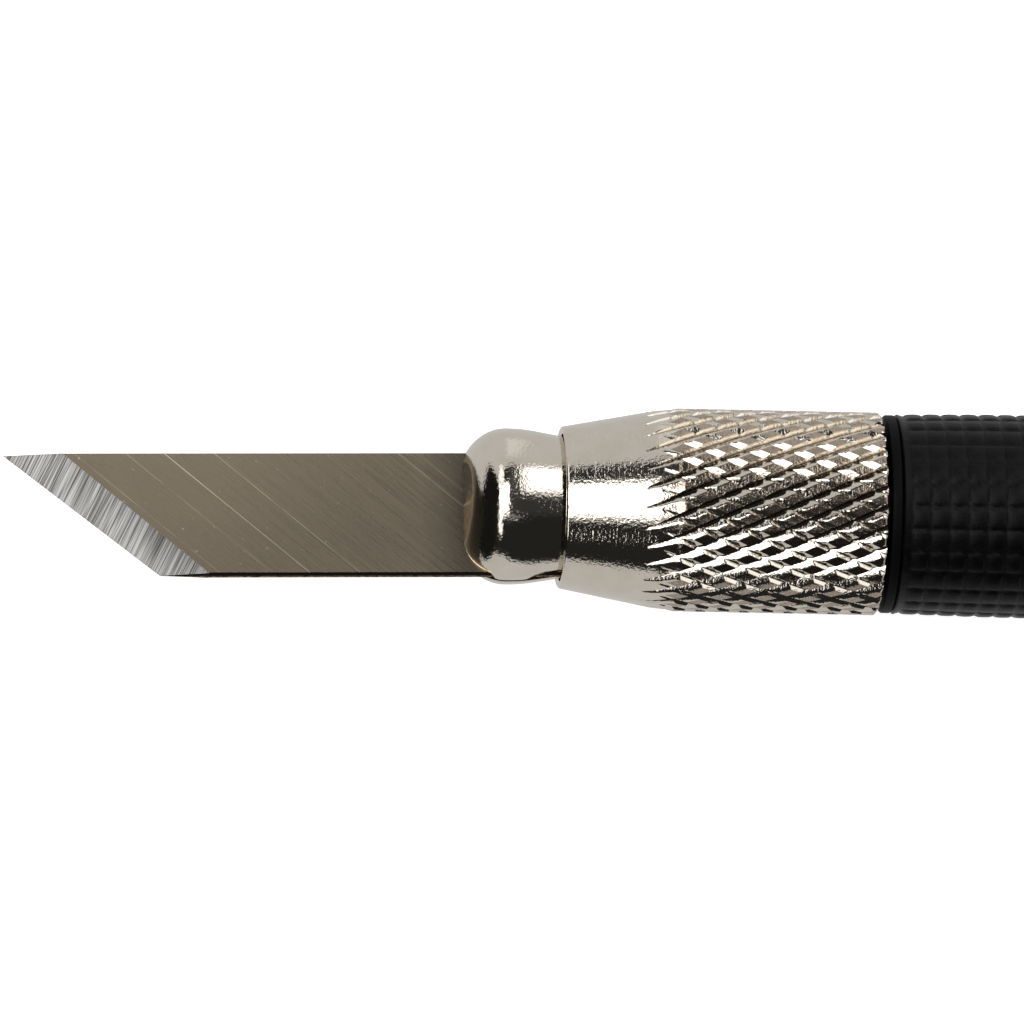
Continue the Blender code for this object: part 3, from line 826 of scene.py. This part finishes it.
def make_barrel(mat):
    """The moulded handle: a tube under the grip and a full-size barrel behind it."""
    front, back, radius = span("handle_tube")
    step = span("grip_sleeve")[1] + FIT
    collar, land = front + COLLAR[0], front + LAND[0]
    outside = [(front, COLLAR[1]), (collar, COLLAR[1]), (collar, LAND[1]), (land, LAND[1]),
               (land, TUBE_R), (step, TUBE_R)]
    outside += front_edge(step, radius, BARREL_EDGES[0])
    outside += back_edge(back, radius, BARREL_EDGES[1])
    flange, shoulder = front + FLANGE[0] + FIT, front + SHOULDER[0] + FIT
    bore = [(back, BORE_R), (shoulder + LAND_STEP, BORE_R), (shoulder, SHOULDER[1] + FIT),
            (flange, SHOULDER[1] + FIT), (flange, FLANGE[1] + FIT), (front, FLANGE[1] + FIT)]
    barrel = turned("handle_barrel", outside + bore, "handle", mat)
    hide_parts("handle_tube")


def hexagon(x, rise, apothem, corner_r):
    """A hexagon with round corners and flats above and below, at one place along the knife."""
    points = []
    reach = (apothem - corner_r) / math.cos(math.pi / 6)
    for k in range(6):
        middle = k * math.pi / 3
        for a in np.linspace(middle - math.pi / 6, middle + math.pi / 6, CORNER_POINTS):
            points.append((x, reach * math.cos(middle) + (corner_r + rise) * math.cos(a),
                           reach * math.sin(middle) + (corner_r + rise) * math.sin(a)))
    return points


def make_tail_plug(mat):
    """The pressed-in plug with its six-sided head."""
    tip, tail, apothem = span("tail_plug")
    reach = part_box("tail_plug")[1].y / MM
    cos30 = math.cos(math.pi / 6)
    corner_r = (apothem / cos30 - reach) / (1 / cos30 - 1)
    head = tip + SPIGOT + FIT
    sides = [math.atan2(z, y) for _, y, z in hexagon(0, 0, apothem, corner_r)]
    spigot_r = BORE_R - FIT
    rows = [[(x, r * math.cos(a), r * math.sin(a)) for a in sides]
            for x, r in ((tip, spigot_r - SPIGOT_LEAD), (tip + SPIGOT_LEAD, spigot_r),
                         (head, spigot_r))]
    ends = (front_edge(head, 0, END_CHAMFER, END_STEPS)
            + back_edge(tail, 0, END_CHAMFER, END_STEPS))
    rows += [hexagon(x, rise, apothem, corner_r) for x, rise in ends]
    plug = make_piece("tail_plug_moulded", sum(rows, []), closed_tube(len(rows), len(sides)),
                      "handle", [mat], sharp=30)
    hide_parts("tail_plug")


# ---------------------------------------------------------------- camera, light and floor

def view_axes():
    """The camera's right, up and back, from the knife's axes as the camera sees them."""
    along = Vector((math.cos(YAW) * math.cos(TILT), -math.cos(YAW) * math.sin(TILT),
                    -math.sin(YAW)))
    normal = Vector((0.0, math.sin(ROLL), math.cos(ROLL)))
    normal = (normal - along * normal.dot(along)).normalized()
    across = normal.cross(along)
    return [Vector((along[i], across[i], normal[i])) for i in range(3)]


def toward(azimuth, elevation):
    """A direction from the knife, in degrees to the right of the camera and above it."""
    a, e = math.radians(azimuth), math.radians(elevation)
    return (RIGHT * math.sin(a) + BACK * math.cos(a)) * math.cos(e) + UP * math.sin(e)


def place_at(obj, direction, distance, roll):
    """Puts a light or card that far from the knife, facing it."""
    way = toward(*direction)
    side = UP.cross(way).normalized()
    rise = way.cross(side)
    turn = Matrix((side, rise, way)).transposed().to_4x4()
    turn = turn @ Matrix.Rotation(math.radians(roll), 4, 'Z')
    obj.matrix_world = Matrix.Translation((TARGET + way * distance) * MM) @ turn


def half_size(degrees, distance):
    """Half the width, in metres, of what looks that wide from the knife."""
    return distance * math.tan(math.radians(degrees / 2)) * MM


def make_card(name, direction, size, roll, level):
    """A card that shows only in the metal's reflections."""
    half_x, half_y = (half_size(degrees, CARD_DISTANCE) for degrees in size)
    card = add_rectangle(name, half_x, half_y, 0.0, emitter(name, level))
    place_at(card, direction, CARD_DISTANCE, roll)
    card.visible_camera = False
    card.visible_diffuse = False
    card.visible_shadow = False


def make_softbox(name, direction, size, roll, radiance):
    """A lamp that lights the knife and shows in it."""
    data = bpy.data.lights.new(name, 'AREA')
    data.shape = 'RECTANGLE'
    data.size, data.size_y = (2 * half_size(degrees, SOFTBOX_DISTANCE) for degrees in size)
    data.energy = radiance * math.pi * data.size * data.size_y
    light = add(name, data)
    place_at(light, direction, SOFTBOX_DISTANCE, roll)
    light.visible_camera = False


def make_floor():
    """The pale table, level with the knife's underside."""
    table = add_rectangle("table", TABLE_HALF, TABLE_HALF, CAD_BOX[0].z, table_top())
    table.visible_glossy = False


def make_camera():
    data = bpy.data.cameras.new("camera")
    data.sensor_width = SENSOR
    data.lens = SENSOR * DISTANCE / VIEW_WIDTH
    data.clip_start, data.clip_end = CLIP
    camera = add("camera", data)
    place = TIP - RIGHT * TIP_IN_VIEW[0] - UP * TIP_IN_VIEW[1] + BACK * DISTANCE
    turn = Matrix((RIGHT, UP, BACK)).transposed().to_4x4()
    camera.matrix_world = Matrix.Translation(place * MM) @ turn
    bpy.context.scene.camera = camera


# ---------------------------------------------------------------- making it all

RIGHT, UP, BACK = view_axes()
TIP = Vector((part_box("blade")[0].x / MM, blade_middle() + BLADE_WIDTH / 2 * math.cos(BLADE_LEAN),
              0.0))
TARGET = Vector((span("knurled_nut")[0], 0.0, 0.0))
COLLET_FRONT = span("collet_upper_jaw")[0]

make_blade([blade_face(), blade_bevel(), blade_side()])
COLLET_NICKEL = nickel("nickel_collet", worn=True)
make_jaw("collet_upper_jaw", 1, SEAT_FLOOR, UPPER_LIP, SEAT_HALF_WIDTH, COLLET_NICKEL)
make_jaw("collet_lower_jaw", -1, LOWER_TOP, LOWER_TOP, None, COLLET_NICKEL)
make_nut(nickel("nickel_nut", turning=0.006, knurled=True))
make_washer(plastic("nylon", NYLON, roughness=0.5, grain_size=0.10, grain_height=0.004,
                    shine=0.06))
make_grip(rubber())
MOULDED = plastic("handle_plastic", MOULDING, roughness=0.42, grain_size=0.14,
                  grain_height=0.006, shine=0.3)
make_barrel(MOULDED)
make_tail_plug(MOULDED)

SHANK_NICKEL = nickel("nickel_shank", turning=0.004)
SPRING_STEEL = plain_metal("spring_steel", SPRING, 0.30, streak=(6.0, 12.0, 12.0))
TURNED_BRASS = plain_metal("brass", BRASS, 0.28, streak=(18.0, 0.4, 0.4),
                           gap_shade=(span("knurled_nut")[1] - GAP_SHADE_LEAD,
                                   span("thrust_washer")[1]))
for node, mat in (("collet_shank", SHANK_NICKEL), ("shank_stop_clip", SPRING_STEEL),
                  ("nut_retaining_ring", SPRING_STEEL), ("key_pin", SPRING_STEEL),
                  ("front_ferrule", TURNED_BRASS)):
    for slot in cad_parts[node].material_slots:
        slot.material = mat

make_camera()
make_floor()
for softbox in SOFTBOXES:
    make_softbox(*softbox)
for card in CARDS:
    make_card(*card)

WORLD = bpy.data.worlds.new("studio")
WORLD.use_nodes = True
WORLD.node_tree.nodes["Background"].inputs["Color"].default_value = ROOM
bpy.context.scene.world = WORLD
bpy.context.scene.view_settings.view_transform = 'Standard'
